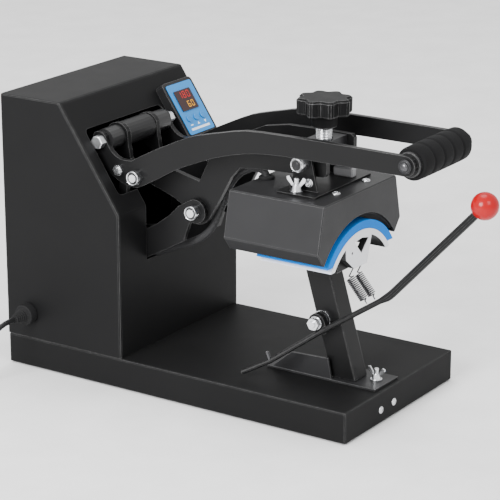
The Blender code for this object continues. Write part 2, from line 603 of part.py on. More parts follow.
def build_post():
    def post_outline(inset, low, high):
        run = 0.292
        y_low, y_high = -0.138 + (low - 0.165) * run, -0.138 + (high - 0.165) * run
        half = 0.0152 - inset
        return [(y_low - half, low), (y_low + half, low), (y_high + half, high), (y_high - half, high)]
    post = prism("post", "x", post_outline(0, 0.0388, 0.1652), -0.0370, -0.0115, "black_paint",
                 smooth=False)
    bevel(post, 0.0012, 2)
    combine(post, "DIFFERENCE", prism_mesh("x", post_outline(0.002, 0.03, 0.18), -0.0350, -0.0135))
    foot = prism("post_foot", "z", [(-0.0444, -0.2187), (0.0032, -0.2193), (0.0032, -0.1500),
                                    (-0.0040, -0.0820), (-0.0444, -0.0820)], 0.0363, 0.0385,
                 "grey_paint")
    combine(foot, "UNION", prism_mesh("x", [(-0.0876, 0.0380), (-0.1132, 0.0597), (-0.1592, 0.0616),
                                            (-0.1640, 0.0380)], -0.0441, -0.0416))
    wing_nut("foot_wing_nut", -0.0182, -0.2050, 0.0388, 0.9)


LEVER_PATH = [(-0.047, -0.3332, 0.2525), (-0.047, -0.2390, 0.1511), (-0.047, -0.2363, 0.1485),
              (-0.047, -0.2330, 0.1458), (-0.047, -0.2240, 0.1398), (-0.050, -0.1579, 0.0956),
              (-0.053, -0.1500, 0.0900), (-0.075, -0.1055, 0.0572), (-0.087, -0.0773, 0.0423)]
LEVER_RADII = [0.0045, 0.0045, 0.0045, 0.0044, 0.0030, 0.0030, 0.0030, 0.0028, 0.0028]


def build_lever():
    """Spring-loaded hold-down lever beside the post."""
    bar = finish("hold_down_lever", sweep_mesh(LEVER_PATH, LEVER_RADII, 12), "black_paint", True)
    tab = prism_mesh("x", eye_bar(LEVER_PIVOT, 0.0100, (-0.1560, 0.0950), 0.0050), -0.0500, -0.0430,
                     [circle(LEVER_PIVOT, 0.0043, 16)])
    pin = stack_mesh("x", (-0.2035, 0.1263), [(-0.0480, 0.0022, "o"), (-0.0115, 0.0022, "o")], 12)
    combine(bar, "UNION", tab, pin)
    ball = bmesh.new()
    bmesh.ops.create_uvsphere(ball, u_segments=24, v_segments=14, radius=0.0145,
                              matrix=Matrix.Translation((-0.047, -0.3433, 0.2634)))
    knob = finish("lever_ball", ball, "red_plastic", True)
    knob.data.shade_smooth()
    pivot_at([bar, knob], -0.047, *LEVER_PIVOT)
    stack("lever_pivot_bolt", "x", LEVER_PIVOT, [
        (-0.0373, 0.0105, "o"), (-0.0390, 0.0105, "o"), (-0.0390, 0.0068, "h"), (-0.0427, 0.0068, "h"),
        (-0.0427, 0.0040, "o"), (-0.0503, 0.0040, "o"), (-0.0503, 0.0074, "o"), (-0.0518, 0.0074, "o"),
        (-0.0518, 0.0072, "h"), (-0.0580, 0.0072, "h"), (-0.0580, 0.0038, "o"), (-0.0600, 0.0036, "o")],
        "zinc")
    for side, x in (("left", -0.0345), ("right", -0.0175)):
        spring(side, x)


def spring(side, x):
    """Close-wound extension spring from under the platen to the lever's pin."""
    top, bottom = Vector((x, -0.1800, 0.1540)), Vector((x, -0.1975, 0.1335))
    axis = (bottom - top).normalized()
    points, radii = [Vector((x, -0.1835, 0.1655)), top - axis * 0.001, top], [0.0012, 0.0012, 0.0034]
    turns = 10
    for i in range(turns):
        for share, r in ((0.0, 0.0036), (0.5, 0.0041)):
            points.append(top + (bottom - top) * ((i + share + 0.1) / turns))
            radii.append(r)
    points += [bottom, bottom + axis * 0.001, Vector((x, -0.2012, 0.1290))]
    radii += [0.0034, 0.0012, 0.0012]
    finish("spring_" + side, sweep_mesh(points, radii, 10), "zinc", True)


# power cord ---------------------------------------------------------------------------
CORD_D = 0.006
COIL_MID, COIL_R, COIL_WIRE = (-0.262, 0.262), 0.033, 0.0090
CORD_PATH = [(-0.1440, 0.1940, 0.0655), (-0.1580, 0.1942, 0.0648), (-0.1710, 0.1952, 0.0608),
             (-0.1815, 0.1970, 0.0530), (-0.1895, 0.1995, 0.0425), (-0.1970, 0.2025, 0.0310),
             (-0.2060, 0.2062, 0.0200), (-0.2165, 0.2108, 0.0118), (-0.2280, 0.2164, 0.0070),
             (-0.2395, 0.2218, 0.0048)]


def tube(name, path, radius, slot):
    curve = bpy.data.curves.new(name, "CURVE")
    curve.dimensions = "3D"
    curve.bevel_depth, curve.bevel_resolution, curve.use_fill_caps = radius, 2, True
    spline = curve.splines.new("POLY")
    spline.points.add(len(path) - 1)
    for point, at in zip(spline.points, path):
        point.co = (*at, 1.0)
    obj = bpy.data.objects.new(name, curve)
    bpy.context.scene.collection.objects.link(obj)
    curve.materials.append(material(name, slot))
    return obj


def build_cord():
    stack("cable_gland", "x", (0.194, 0.0655), [
        (-0.1153, 0.0110, "o"), (-0.1160, 0.0120, "o"), (-0.1255, 0.0120, "o"),
        (-0.1265, 0.0110, "o"), (-0.1265, 0.0080, "o"), (-0.1437, 0.0042, "o")], "black_plastic")
    tube("power_cord", curve_through(CORD_PATH, 2), CORD_D / 2, "cord_pvc")
    profile = [(COIL_WIRE + COIL_WIRE * math.sin(a) + GAP, COIL_R + COIL_WIRE * math.cos(a))
               for a in (2 * math.pi * i / 10 for i in range(10))]
    tube_ring("cord_coil", "z", COIL_MID, profile, "cord_pvc", 28)
    x, y = COIL_MID[0] - 0.046, COIL_MID[1] + 0.012
    plug = prism("power_plug", "z", rounded_box(x - 0.0135, x + 0.0030, y - 0.020, y + 0.022, 0.004, 3),
                 GAP, 0.0190, "black_plastic")
    combine(plug, "UNION", box_mesh(x - 0.0125, x - 0.0110, y + 0.020, y + 0.040, 0.0065, 0.0125),
            box_mesh(x, x + 0.0015, y + 0.020, y + 0.040, 0.0065, 0.0125))


def main():
    clear_scene()
    build_base()
    build_housing()
    build_frame()
    build_controller()
    build_head_arm()
    build_head()
    build_knob()
    build_handle()
    build_links()
    build_platen()
    build_post()
    build_lever()
    build_cord()
    for obj in bpy.data.objects:
        obj.location.y += CENTRE_SHIFT


main()
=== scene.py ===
"""Looks of the small cap press: materials, wound springs, cable, cord and small fittings.

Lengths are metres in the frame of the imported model. Pieces are drawn in the mechanism's own
coordinates and moved by SHIFT along Y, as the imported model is.
"""

import math

import bmesh
import bpy
from mathutils import Matrix, Vector


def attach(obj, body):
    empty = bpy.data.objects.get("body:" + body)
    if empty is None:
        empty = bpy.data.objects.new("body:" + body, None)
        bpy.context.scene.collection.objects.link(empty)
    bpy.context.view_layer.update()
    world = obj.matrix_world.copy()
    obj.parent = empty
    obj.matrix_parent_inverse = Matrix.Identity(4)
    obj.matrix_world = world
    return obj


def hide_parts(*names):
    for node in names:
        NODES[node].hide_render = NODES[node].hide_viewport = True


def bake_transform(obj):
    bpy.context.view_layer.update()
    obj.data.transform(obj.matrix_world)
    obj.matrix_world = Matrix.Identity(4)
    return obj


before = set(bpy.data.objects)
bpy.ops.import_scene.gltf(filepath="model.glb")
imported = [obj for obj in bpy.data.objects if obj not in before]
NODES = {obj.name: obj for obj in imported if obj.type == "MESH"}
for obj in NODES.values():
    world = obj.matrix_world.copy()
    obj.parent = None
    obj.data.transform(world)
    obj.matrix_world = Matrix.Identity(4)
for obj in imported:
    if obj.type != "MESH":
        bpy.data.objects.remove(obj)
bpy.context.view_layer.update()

SHIFT = 0.0664                       # from the mechanism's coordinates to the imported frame
MID = -0.027                         # X of the mechanism's centre plane
SCREW_Y = -0.1413
# Y and Z of the axes that run along X
GRIP = (-0.274, 0.303)
TILT = (-0.141, 0.2824)
ARM_PIVOT = (0.0, 0.2045)
HANDLE_BOLT = (0.060, 0.240)
YOKE_BOLT = (-0.1480, 0.2610)
CORD_EXIT = (0.194, 0.0655)
CABLE_X = -0.0420
# flat faces that screws sit on
TRAY_FRONT_Y = -0.2250
REAR_FACE_Y = 0.2240
COVER_TOP_Z = 0.2495
# arch of the lower platen, its axis running along Y
PLATEN_AXIS = (-0.0265, 0.1349)
PLATEN_INNER_R = 0.0653
PLATEN_FRONT_Y = -0.188
# the controller sits on the housing's sloped face
SLOPE = math.atan2(0.3168 - 0.2016, 0.1433 - 0.065)
CASE_MID = (0.07525, 0.1127, 0.2718)
PRINT = (0.0121, 0.0122)             # height of the print above the case's middle
FIGURES = (0.01325, 0.01335)         # height of the figures in the window
SIDES = (("left", -1), ("right", 1))


# camera, floor and light --------------------------------------------------------------
def camera():
    """A long lens at the front left, looking down a little."""
    looking_down, turned = 17.751, -56.370
    data = bpy.data.cameras.new("camera")
    data.lens, data.sensor_width = 157.19, 36.0
    data.clip_end = 30.0
    cam = bpy.data.objects.new("camera", data)
    cam.location = (-1.9205, -1.3071 + SHIFT, 0.8876)
    cam.rotation_euler = (math.radians(90 - looking_down), 0, math.radians(turned))
    bpy.context.scene.collection.objects.link(cam)
    bpy.context.scene.camera = cam


def area_light(name, spot, aim, size, power):
    """A round white lamp at spot, turned towards aim."""
    data = bpy.data.lights.new(name, "AREA")
    data.shape, data.size, data.energy = "DISK", size, power
    light = bpy.data.objects.new(name, data)
    light.location = spot
    light.rotation_euler = (Vector(aim) - Vector(spot)).to_track_quat("-Z", "Y").to_euler()
    bpy.context.scene.collection.objects.link(light)


def studio():
    """Pale floor, white surroundings and three soft lamps."""
    mesh = bpy.data.meshes.new("floor")
    half = 14.0
    mesh.from_pydata([(-half, -half, 0), (half, -half, 0), (half, half, 0), (-half, half, 0)],
                     [], [(0, 1, 2, 3)])
    floor = bpy.data.objects.new("floor", mesh)
    bpy.context.scene.collection.objects.link(floor)
    floor.data.materials.append(coat("floor_paper", (0.90, 0.90, 0.90), 0.9, 0.04, 300, 0.00002,
                                     edge_wear_and_highlight=0.0, round_edge=0.0))
    world = bpy.data.worlds.new("studio")
    world.use_nodes = True
    background = world.node_tree.nodes["Background"]
    background.inputs["Color"].default_value = (1, 1, 1, 1)
    background.inputs["Strength"].default_value = 1.25
    bpy.context.scene.world = world
    area_light("key", (-0.9, -2.2, 2.0), (0, 0, 0.15), 1.3, 24)
    area_light("left", (-2.6, 0.2, 1.5), (0, 0.1, 0.15), 1.4, 120)
    area_light("top", (0.3, 0.3, 2.6), (0, 0, 0.2), 1.6, 30)


# materials ----------------------------------------------------------------------------
def shader(name):
    """A new material, its node tree and its Principled BSDF."""
    mat = bpy.data.materials.new(name)
    mat.use_nodes = True
    tree = mat.node_tree
    return mat, tree, tree.nodes["Principled BSDF"]


def object_coords(tree):
    return tree.nodes.new("ShaderNodeTexCoord").outputs["Object"]


def object_axes(tree):
    """Outputs X, Y and Z of the piece's own coordinates."""
    parts = tree.nodes.new("ShaderNodeSeparateXYZ")
    tree.links.new(object_coords(tree), parts.inputs[0])
    return parts.outputs


def noise(tree, scale, detail=3.0, rough=0.55):
    node = tree.nodes.new("ShaderNodeTexNoise")
    node.inputs["Scale"].default_value = scale
    node.inputs["Detail"].default_value = detail
    node.inputs["Roughness"].default_value = rough
    tree.links.new(object_coords(tree), node.inputs["Vector"])
    return node.outputs["Fac"]


def spread(tree, value, low_in, high_in, low, high):
    """Maps low_in to high_in onto low to high, and holds the ends."""
    node = tree.nodes.new("ShaderNodeMapRange")
    for name, number in (("From Min", low_in), ("From Max", high_in), ("To Min", low),
                         ("To Max", high)):
        node.inputs[name].default_value = number
    tree.links.new(value, node.inputs["Value"])
    return node.outputs["Result"]


def blend_colour(tree, share, first, second):
    """first where share is 0, second where it is 1; each is a colour or an output."""
    colour_a, colour_b, colour_out = 6, 7, 2
    node = tree.nodes.new("ShaderNodeMix")
    node.data_type = "RGBA"
    for socket, colour in ((colour_a, first), (colour_b, second)):
        if isinstance(colour, tuple):
            node.inputs[socket].default_value = (*colour, 1)
        else:
            tree.links.new(colour, node.inputs[socket])
    tree.links.new(share, node.inputs["Factor"])
    return node.outputs[colour_out]


def math_node(tree, operation, a, b=0):
    node = tree.nodes.new("ShaderNodeMath")
    node.operation = operation
    for socket, value in ((0, a), (1, b)):
        if isinstance(value, (int, float)):
            node.inputs[socket].default_value = value
        else:
            tree.links.new(value, node.inputs[socket])
    return node.outputs[0]


def edge_share(tree, radius):
    """Two outputs: 1 on edges and 0 on flats, and the normal softened over the edges."""
    soft = tree.nodes.new("ShaderNodeBevel")
    soft.samples = 4
    soft.inputs["Radius"].default_value = radius
    flat = tree.nodes.new("ShaderNodeNewGeometry")
    dot = tree.nodes.new("ShaderNodeVectorMath")
    dot.operation = "DOT_PRODUCT"
    tree.links.new(soft.outputs["Normal"], dot.inputs[0])
    tree.links.new(flat.outputs["Normal"], dot.inputs[1])
    return spread(tree, dot.outputs["Value"], 0.995, 0.93, 0.0, 1.0), soft.outputs["Normal"]


def bump(tree, height, distance, normal=None):
    node = tree.nodes.new("ShaderNodeBump")
    node.inputs["Distance"].default_value = distance
    node.inputs["Strength"].default_value = 1.0
    tree.links.new(height, node.inputs["Height"])
    if normal is not None:
        tree.links.new(normal, node.inputs["Normal"])
    return node.outputs["Normal"]


def scaled(colour, k):
    return tuple(min(1.0, c * k) for c in colour)


def coat(name, colour, rough, mottle, grain, depth, metal=0.0, edge_wear_and_highlight=0.35, round_edge=0.0006,
         shine=0.5, uneven=0.04):
    """A finish with grain, patches of gloss, slow colour change and lighter edges, partly wear
    and partly painted highlight.

    mottle is the colour's change either way, uneven the roughness's, grain and depth the scale
    and height of the surface's texture, round_edge the width over which an edge looks rounded.
    """
    mat, tree, bsdf = shader(name)
    patches = noise(tree, 14, 5)
    colour_out = blend_colour(tree, spread(tree, patches, 0.3, 0.7, 0, 1),
                              scaled(colour, 1 - mottle), scaled(colour, 1 + mottle))
    grain_out = noise(tree, grain, 3, 0.6)
    normal = None
    if round_edge > 0:
        edge, normal = edge_share(tree, round_edge)
        if edge_wear_and_highlight > 0:
            # lighter edges: worn chips, and also a painted highlight that stands in for light
            # catching the edges
            chips = spread(tree, noise(tree, 220, 4), 0.35, 0.65, 0.45, 1.0)
            share = math_node(tree, "MULTIPLY", math_node(tree, "MULTIPLY", edge, chips), edge_wear_and_highlight)
            colour_out = blend_colour(tree, share, colour_out,
                                      tuple(0.5 * c + 0.28 for c in colour))
    tree.links.new(colour_out, bsdf.inputs["Base Color"])
    tree.links.new(spread(tree, noise(tree, 45, 4), 0.3, 0.7, rough - uneven, rough + uneven),
                   bsdf.inputs["Roughness"])
    bsdf.inputs["Metallic"].default_value = metal
    bsdf.inputs["Specular IOR Level"].default_value = shine
    tree.links.new(bump(tree, grain_out, depth, normal), bsdf.inputs["Normal"])
    return mat


def braid(name, colour, pitch):
    """Woven sleeve: two sets of crossing strands wound round a cable."""
    mat, tree, bsdf = shader(name)
    waves = []
    for tilt in (0.8, -0.8):
        mapping = tree.nodes.new("ShaderNodeMapping")
        mapping.inputs["Rotation"].default_value = (tilt, tilt, 0.0)
        tree.links.new(object_coords(tree), mapping.inputs["Vector"])
        wave = tree.nodes.new("ShaderNodeTexWave")
        wave.inputs["Scale"].default_value = pitch
        tree.links.new(mapping.outputs["Vector"], wave.inputs["Vector"])
        waves.append(wave.outputs["Fac"])
    weave = math_node(tree, "MAXIMUM", *waves)
    tree.links.new(blend_colour(tree, weave, scaled(colour, 0.5), scaled(colour, 1.5)),
                   bsdf.inputs["Base Color"])
    bsdf.inputs["Roughness"].default_value = 0.62
    tree.links.new(bump(tree, weave, 0.0004), bsdf.inputs["Normal"])
    return mat


def glow(name, colour, strength):
    """Lit figures of a display."""
    mat, tree, bsdf = shader(name)
    share = spread(tree, noise(tree, 900, 2), 0.3, 0.7, 0.0, 1.0)
    shade = blend_colour(tree, share, scaled(colour, 0.9), colour)
    bsdf.inputs["Base Color"].default_value = (*scaled(colour, 0.25), 1)
    tree.links.new(shade, bsdf.inputs["Emission Color"])
    bsdf.inputs["Emission Strength"].default_value = strength
    bsdf.inputs["Roughness"].default_value = 0.4
    return mat


def two_tone(name, near, far, centre, limit, axis, near_metal, far_metal):
    """Two finishes on one piece: near is used up to limit from centre along an axis."""
    mat, tree, bsdf = shader(name)
    offset = math_node(tree, "SUBTRACT", object_axes(tree)[axis], centre)
    away = math_node(tree, "ABSOLUTE", offset)
    share = spread(tree, away, limit - 0.0002, limit + 0.0002, 0.0, 1.0)
    patches = spread(tree, noise(tree, 60, 4), 0.3, 0.7, 0.0, 1.0)
    mottled = [blend_colour(tree, patches, scaled(c, 0.85), scaled(c, 1.15))
               for c in (near, far)]
    tree.links.new(blend_colour(tree, share, *mottled), bsdf.inputs["Base Color"])
    tree.links.new(spread(tree, share, 0, 1, near_metal, far_metal), bsdf.inputs["Metallic"])
    tree.links.new(spread(tree, patches, 0, 1, 0.30, 0.40), bsdf.inputs["Roughness"])
    tree.links.new(bump(tree, noise(tree, 1500, 2), 0.00003), bsdf.inputs["Normal"])
    return mat


def painted_shade_inside(mat, colour, centre, radius, front):
    """Paints shade into an arched casting: darkens it within a radius of its axis along Y,
    behind its front face.
    """
    tree = mat.node_tree
    base = tree.nodes["Principled BSDF"].inputs["Base Color"]
    axes = object_axes(tree)
    squares = []
    for axis, middle in zip("XZ", centre):
        offset = math_node(tree, "SUBTRACT", axes[axis], middle)
        squares.append(math_node(tree, "POWER", offset, 2))
    away = math_node(tree, "SQRT", math_node(tree, "ADD", *squares))
    near = spread(tree, away, radius, radius + 0.0003, 1.0, 0.0)
    behind = spread(tree, axes["Y"], front + 0.0004, front + 0.0010, 0.0, 1.0)
    share = math_node(tree, "MULTIPLY", near, behind)
    tree.links.new(blend_colour(tree, share, base.links[0].from_socket, colour), base)
    return mat


def make_materials():
    black, bright, brass = (0.008, 0.008, 0.0085), (0.72, 0.73, 0.75), (0.75, 0.66, 0.45)
    blades_from, bolt_heads_from = 0.2962 + SHIFT, 0.0595
    cast = coat("cast_light_alloy", (0.74, 0.75, 0.78), 0.42, 0.05, 500, 0.00008, metal=0.10,
                edge_wear_and_highlight=0.1)
    return {
        # sheet and paint
        "sheet": coat("sheet_powder_coat", (0.0065, 0.0065, 0.0068), 0.50, 0.06, 1500, 0.00006,
                      edge_wear_and_highlight=0.45, round_edge=0.0010, shine=0.10, uneven=0.015),
        "tray": coat("tray_powder_coat", (0.0090, 0.0090, 0.0092), 0.55, 0.06, 1500, 0.00006,
                     edge_wear_and_highlight=0.35, round_edge=0.0011, shine=0.06, uneven=0.015),
        "frame": coat("frame_paint", (0.0055, 0.0055, 0.0058), 0.38, 0.08, 900, 0.00003,
                      edge_wear_and_highlight=0.6, shine=0.16),
        "cover": coat("cover_powder_coat", (0.019, 0.019, 0.020), 0.42, 0.07, 1500, 0.00006,
                      edge_wear_and_highlight=0.4, round_edge=0.0009, shine=0.16),
        # metal
        "zinc": coat("zinc_plate", bright, 0.24, 0.12, 600, 0.00002, metal=1.0, edge_wear_and_highlight=0.0,
                     round_edge=0.0004),
        "dark_zinc": coat("dark_zinc", (0.10, 0.10, 0.105), 0.30, 0.2, 600, 0.00002, metal=1.0,
                          edge_wear_and_highlight=0.0, round_edge=0.0003),
        "steel": coat("blackened_steel", (0.02, 0.02, 0.022), 0.4, 0.2, 500, 0.00003,
                      metal=0.6),
        "rest": coat("dull_plate", (0.34, 0.34, 0.35), 0.45, 0.12, 500, 0.00004, metal=0.5,
                     edge_wear_and_highlight=0.2),
        "shaft": two_tone("shaft_and_bolt_heads", black, bright, MID, bolt_heads_from, "X",
                          0.0, 1.0),
        # painted shade: the underside of the platen's arch is coloured dark to stand in for the
        # shadow inside it
        "cast": painted_shade_inside(cast, (0.02, 0.02, 0.021), PLATEN_AXIS, PLATEN_INNER_R,
                            PLATEN_FRONT_Y + SHIFT),
        # painted shade: the heating plate is aluminium, and it is coloured near black to stand
        # in for the shadow under the cover
        "painted_shade_element": coat("heater_plate_painted_shade", (0.010, 0.010, 0.011), 0.6, 0.15, 400, 0.0001,
                        edge_wear_and_highlight=0.1, shine=0.1),
        # rubber and plastic
        "silicone": coat("blue_silicone", (0.0, 0.17, 0.60), 0.60, 0.06, 700, 0.00005,
                         edge_wear_and_highlight=0.0, round_edge=0.0008, shine=0.05),
        "rubber": coat("foot_rubber", black, 0.75, 0.2, 900, 0.00006, edge_wear_and_highlight=0.1, shine=0.2),
        "foam": coat("grip_foam", (0.0045, 0.0045, 0.0049), 0.85, 0.25, 1700, 0.00022,
                     edge_wear_and_highlight=0.0, round_edge=0.0, shine=0.18),
        "plastic": coat("moulded_plastic", (0.009, 0.009, 0.0095), 0.40, 0.10, 1100, 0.00004,
                        edge_wear_and_highlight=0.5, round_edge=0.0008, shine=0.3),
        "knob": coat("knob_plastic", (0.0040, 0.0040, 0.0043), 0.48, 0.10, 1100, 0.00006,
                     edge_wear_and_highlight=0.6, round_edge=0.0010, shine=0.11),
        "red": coat("red_ball", (0.34, 0.0, 0.003), 0.20, 0.05, 300, 0.00001, edge_wear_and_highlight=0.0,
                    round_edge=0.0, shine=0.3),
        # cables
        "sleeve": braid("braided_sleeve", (0.011, 0.011, 0.012), 260),
        "pvc": coat("cord_pvc", black, 0.45, 0.08, 800, 0.00003, edge_wear_and_highlight=0.0, round_edge=0.0),
        "plug": two_tone("plug_and_blades", black, brass, 0.0, blades_from, "Y", 0.0, 1.0),
        # controller
        "label": coat("blue_label", (0.010, 0.21, 0.55), 0.35, 0.05, 500, 0.00001, edge_wear_and_highlight=0.0,
                      round_edge=0.0),
        "key": coat("membrane_key", (0.014, 0.19, 0.50), 0.30, 0.05, 500, 0.00001, edge_wear_and_highlight=0.0,
                    round_edge=0.0003),
        "window": coat("tinted_window", (0.02, 0.0005, 0.0005), 0.12, 0.2, 200, 0.000005,
                       edge_wear_and_highlight=0.0, round_edge=0.0004),
        "white": coat("white_print", (0.80, 0.85, 0.92), 0.45, 0.03, 500, 0.00001, edge_wear_and_highlight=0.0,
                      round_edge=0.0),
        "red_led": glow("red_digits", (0.80, 0.0, 0.0), 0.7),
        "amber_led": glow("amber_digits", (0.95, 0.42, 0.0), 1.0),
    }


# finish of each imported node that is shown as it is
CAD_FINISH = {
    "sheet": ["housing_shell", "rear_cover"],
    "tray": ["base_tray"],
    "frame": ["frame_plate_left", "frame_plate_right", "head_arm_left", "head_arm_right",
              "handle_arm_left", "handle_arm_right", "toggle_link_left", "toggle_link_right",
              "head_yoke", "platen_bracket", "post", "hold_down_lever"],
    "cover": ["heater_cover", "post_foot"],
    "zinc": ["arm_pivot_bolt_left", "arm_pivot_bolt_right", "link_pivot_shaft", "tilt_shaft",
             "arm_bolt_left", "arm_bolt_right", "link_pin_left", "link_pin_right",
             "wing_nut_left", "wing_nut_right", "foot_wing_nut", "lever_pivot_bolt"],
    "shaft": ["top_shaft"],
    "steel": ["arm_crossbar", "handle_rod"],
    # the heating plate takes the near-black painted shade
    "painted_shade_element": ["heating_plate"],
    "silicone": ["silicone_pad"],
    "cast": ["lower_platen"],
    "rubber": ["rubber_foot_1", "rubber_foot_2", "rubber_foot_3", "rubber_foot_4",
               "cable_grommet"],
    "plastic": ["controller_case", "shaft_spacer"],
    "knob": ["pressure_knob"],
    "label": ["control_panel"],
    "window": ["display_window"],
    "key": ["key_set", "key_up", "key_down"],
    "plug": ["power_plug"],
}


def dress_cad_nodes():
    for finish, names in CAD_FINISH.items():
        for name in names:
            slots = NODES[name].data.materials
            slots.clear()
            slots.append(MATERIALS[finish])


# mesh helpers -------------------------------------------------------------------------
def piece(name, bm, finish, body, *replaced, smooth=35):
    """A named piece from a bmesh drawn in the mechanism's coordinates.

    It rides on body, stands for the replaced nodes, and is shaded smooth up to an angle.
    """
    bmesh.ops.remove_doubles(bm, verts=bm.verts, dist=1e-7)
    bmesh.ops.recalc_face_normals(bm, faces=bm.faces)
    bmesh.ops.translate(bm, vec=(0, SHIFT, 0), verts=bm.verts)
    mesh = bpy.data.meshes.new(name)
    bm.to_mesh(mesh)
    bm.free()
    obj = bpy.data.objects.new(name, mesh)
    bpy.context.scene.collection.objects.link(obj)
    mesh.materials.append(MATERIALS[finish])
    mesh.shade_smooth()
    mesh.set_sharp_from_angle(angle=math.radians(smooth))
    if body:
        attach(obj, body)
    if replaced:
        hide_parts(*replaced)
    return obj


def place(axis, u, v, t):
    """The point at t along an axis and at u, v across it."""
    return {"x": (t, u, v), "y": (u, t, v), "z": (u, v, t)}[axis]


def lathe(axis, centre, profile, sides=48, bm=None, closed=False):
    """Rings of (position, radius) along an axis; closed joins the last ring to the first."""
    bm = bm or bmesh.new()
    rings = []
    for position, radius in profile:
        rings.append([bm.verts.new(place(axis, centre[0] + radius * math.cos(a),
                                         centre[1] + radius * math.sin(a), position))
                      for a in (2 * math.pi * i / sides for i in range(sides))])
    pairs = list(zip(rings, rings[1:])) + ([(rings[-1], rings[0])] if closed else [])
    for low, high in pairs:
        for i in range(sides):
            bm.faces.new((low[i - 1], low[i], high[i], high[i - 1]))
    if not closed:
        bm.faces.new(rings[0])
        bm.faces.new(rings[-1])
    return bm


def sweep(points, radius, sides=10, bm=None):
    """A round bar of one radius along points, with flat ends."""
    bm = bm or bmesh.new()
    points = [Vector(p) for p in points]
    tangents = [(points[min(i + 1, len(points) - 1)] - points[max(i - 1, 0)]).normalized()
                for i in range(len(points))]
    up = tangents[0].orthogonal().normalized()
    rings = []
    for p, t in zip(points, tangents):
        up = (up - t * up.dot(t)).normalized()
        side = t.cross(up)
        rings.append([bm.verts.new(p + radius * (math.cos(a) * up + math.sin(a) * side))
                      for a in (2 * math.pi * k / sides for k in range(sides))])
    for low, high in zip(rings, rings[1:]):
        for k in range(sides):
            bm.faces.new((low[k - 1], low[k], high[k], high[k - 1]))
    bm.faces.new(rings[0])
    bm.faces.new(rings[-1])
    return bm


def block(bm, low, high, turn=None):
    """Adds a box between two corners, turned about its own middle; gives its vertices."""
    made = bmesh.ops.create_cube(bm, size=1.0)["verts"]
    size = [b - a for a, b in zip(low, high)]
    middle = [(a + b) / 2 for a, b in zip(low, high)]
    bmesh.ops.scale(bm, vec=size, verts=made)
    if turn is not None:
        bmesh.ops.rotate(bm, matrix=turn, verts=made)
    bmesh.ops.translate(bm, vec=middle, verts=made)
    return made


def curve_through(points, steps):
    """Catmull-Rom curve through the points, with a number of steps between each two."""
    out = []
    for i in range(len(points) - 1):
        p0, p1 = points[max(i - 1, 0)], points[i]
        p2, p3 = points[i + 1], points[min(i + 2, len(points) - 1)]
        for k in range(steps):
            t = k / steps
            out.append(tuple(
                0.5 * (2 * b + (c - a) * t + (2 * a - 5 * b + 4 * c - d) * t * t
                       + (3 * b - a - 3 * c + d) * t ** 3)
                for a, b, c, d in zip(p0, p1, p2, p3)))
    out.append(points[-1])
    return out


# power cord ---------------------------------------------------------------------------
CORD_D = 0.006
COIL_MID, COIL_R = (-0.262, 0.262), 0.033
# down from the gland to the bench
CORD_PATH = [(-0.1440, 0.1940, 0.0655), (-0.1580, 0.1942, 0.0648), (-0.1710, 0.1952, 0.0608),
             (-0.1815, 0.1970, 0.0530), (-0.1895, 0.1995, 0.0425), (-0.1970, 0.2025, 0.0310),
             (-0.2060, 0.2062, 0.0200), (-0.2165, 0.2108, 0.0118), (-0.2280, 0.2164, 0.0070),
             (-0.2395, 0.2218, 0.0048)]
# from the coil's last turn to the plug
CORD_TAIL = [(-0.3005, 0.2350, 0.0150), (-0.3085, 0.2430, 0.0130), (-0.3128, 0.2490, 0.0108),
             (-0.3133, 0.2541, 0.0100)]
# where each turn lies in the wound bundle: out from the middle radius, and up
TURNS = [(0.0062, 0.0042), (0.0000, 0.0042), (-0.0062, 0.0042), (-0.0031, 0.0095),
         (0.0031, 0.0095), (0.0000, 0.0148), (0.0000, 0.0148)]


def coil_points():
    """Turns laid beside and on each other, wound clockwise as seen from above."""
    per_turn, first, last_part, steps_over_from = 24, 262, 40, 290
    last = len(TURNS) - 1
    out = []
    for k in range(int((last * 360 + last_part) / 360 * per_turn) + 1):
        turned = k * 360 / per_turn
        n = min(int(turned // 360), last)
        after = TURNS[min(n + 1, last)]
        share = max(0.0, (turned % 360) - steps_over_from) / (360 - steps_over_from)
        share = share * share * (3 - 2 * share)
        out_by = TURNS[n][0] + (after[0] - TURNS[n][0]) * share
        height = TURNS[n][1] + (after[1] - TURNS[n][1]) * share
        a = math.radians(first - turned)
        out.append((COIL_MID[0] + (COIL_R + out_by) * math.cos(a),
                    COIL_MID[1] + (COIL_R + out_by) * math.sin(a), height))
    return out


def power_cord():
    """One round lead from the gland through the coil to the plug."""
    drawn = curve_through(CORD_PATH, 2) + coil_points() + CORD_TAIL
    route = [(x, y + SHIFT, z) for x, y, z in drawn]
    curve = bpy.data.curves.new("mains_lead", "CURVE")
    curve.dimensions = "3D"
    curve.bevel_depth, curve.bevel_resolution, curve.use_fill_caps = CORD_D / 2, 3, True
    spline = curve.splines.new("POLY")
    spline.points.add(len(route) - 1)
    for point, at in zip(spline.points, route):
        point.co = (*at, 1.0)
    spline.use_smooth = True
    obj = bpy.data.objects.new("mains_lead", curve)
    bpy.context.scene.collection.objects.link(obj)
    curve.materials.append(MATERIALS["pvc"])
    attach(obj, "base")
    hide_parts("power_cord", "cord_coil")


def ribbed_gland():
    """Moulded collar and tapered ribbed sleeve where the lead leaves the housing."""
    profile = [(-0.1153, 0.0110), (-0.1160, 0.0120), (-0.1250, 0.0120), (-0.1260, 0.0116),
               (-0.1265, 0.0108), (-0.1265, 0.0084)]
    ribs, groove = 6, 0.0009
    start, end = -0.1268, -0.1430
    thick, thinner_by = 0.0082, 0.0038
    for k in range(ribs):
        for share, depth in ((0.0, 0.0), (0.45, 0.0), (0.55, groove), (0.90, groove)):
            t = (k + share) / ribs
            profile.append((start + (end - start) * t, thick - thinner_by * t - depth))
    profile += [(-0.1437, 0.0040), (-0.1437, 0.0031)]
    gland = piece("ribbed_gland", lathe("x", CORD_EXIT, profile, 40), "rubber", "base",
                  "cable_gland")


